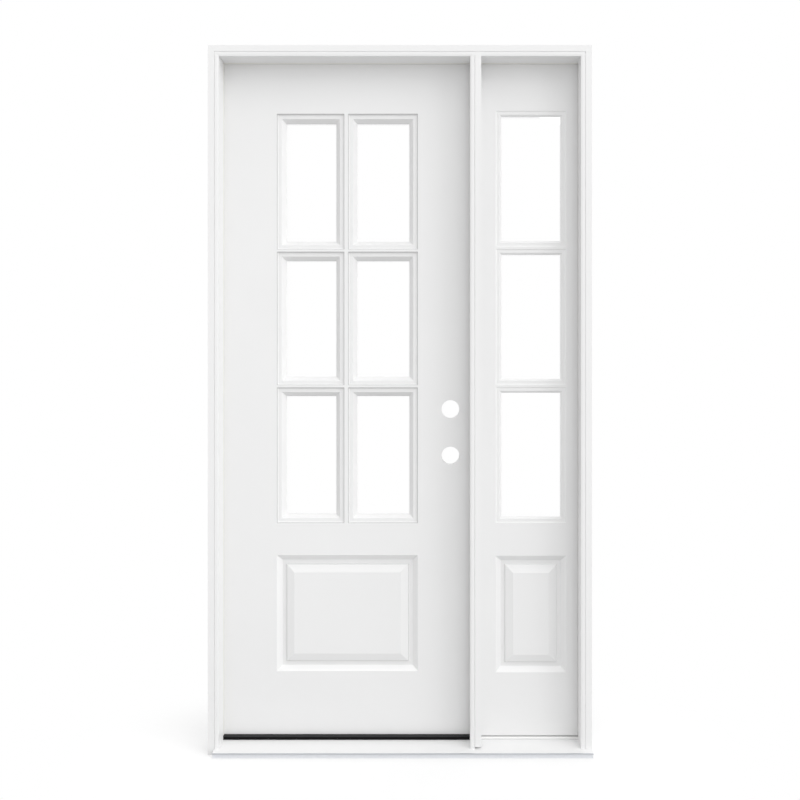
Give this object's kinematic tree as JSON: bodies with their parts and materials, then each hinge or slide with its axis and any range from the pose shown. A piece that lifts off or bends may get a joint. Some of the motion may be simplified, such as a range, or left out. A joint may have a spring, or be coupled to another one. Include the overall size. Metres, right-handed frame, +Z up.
{
  "type": "entry door with one sidelight",
  "caption": "Pre-hung white entry door with divided glass over a raised panel, a matching fixed sidelight, mitred frame, sloped sill and black threshold.",
  "frame": {"origin": "on the underside of the sill, at the middle of the frame's width and of the jambs' depth", "axes": "seen from outdoors: +X to the right, towards the sidelight; +Y indoors; +Z up"},
  "size_m": [1.124, 0.1584, 2.0765],
  "materials": {
    "white_paint": "white satin paint",
    "clear_glass": "clear polished",
    "satin_steel": "satin",
    "black_composite": "matt black",
    "black_rubber": "matt",
    "white_seal": "matt foam skin",
    "sill_metal": "white coated deck with a plain metal nosing",
    "sill_composite": "matt white"
  },
  "bodies": {
    "frame": {"hinge_jamb": "white_paint", "hinge_stop": "white_paint", "sidelight_jamb": "white_paint", "sidelight_stop": "white_paint", "head_jamb": "white_paint", "head_stop": "white_paint", "mull_post": "white_paint", "mull_stop": "white_paint", "sill_deck": "sill_metal", "sill_base": "sill_composite", "threshold_cap": "black_composite", "sidelight_base": "sill_composite", "hinge_side_seal": "white_seal", "head_seal": "white_seal", "strike_side_seal": "white_seal", "sidelight_head_seal": "white_seal", "sidelight_jamb_seal": "white_seal", "top_jamb_hinge_leaf": "satin_steel", "middle_jamb_hinge_leaf": "satin_steel", "bottom_jamb_hinge_leaf": "satin_steel", "sidelight_mull_stile": "white_paint", "sidelight_jamb_stile": "white_paint", "sidelight_top_rail": "white_paint", "sidelight_middle_rail": "white_paint", "sidelight_bottom_rail": "white_paint", "sidelight_raised_panel": "white_paint", "sidelight_cross_bars": "white_paint", "sidelight_outer_mouldings": "white_paint", "sidelight_inner_mouldings": "white_paint", "sidelight_glass": "clear_glass"},
    "door": {"door_hinge_stile": "white_paint", "door_lock_stile": "white_paint", "door_top_rail": "white_paint", "door_middle_rail": "white_paint", "door_bottom_rail": "white_paint", "door_raised_panel": "white_paint", "door_upright_bar": "white_paint", "door_cross_bars": "white_paint", "door_outer_mouldings": "white_paint", "door_inner_mouldings": "white_paint", "door_glass": "clear_glass", "door_sweep": "black_rubber", "top_door_hinge_leaf": "satin_steel", "middle_door_hinge_leaf": "satin_steel", "bottom_door_hinge_leaf": "satin_steel"}
  },
  "joints": [
    {"name": "door_swing", "type": "hinge", "parent": "frame", "child": "door", "pos_m": [-0.54043, 0.06595, 1], "axis": [0, 0, 1], "range_deg": [0, 170]}
  ]
}
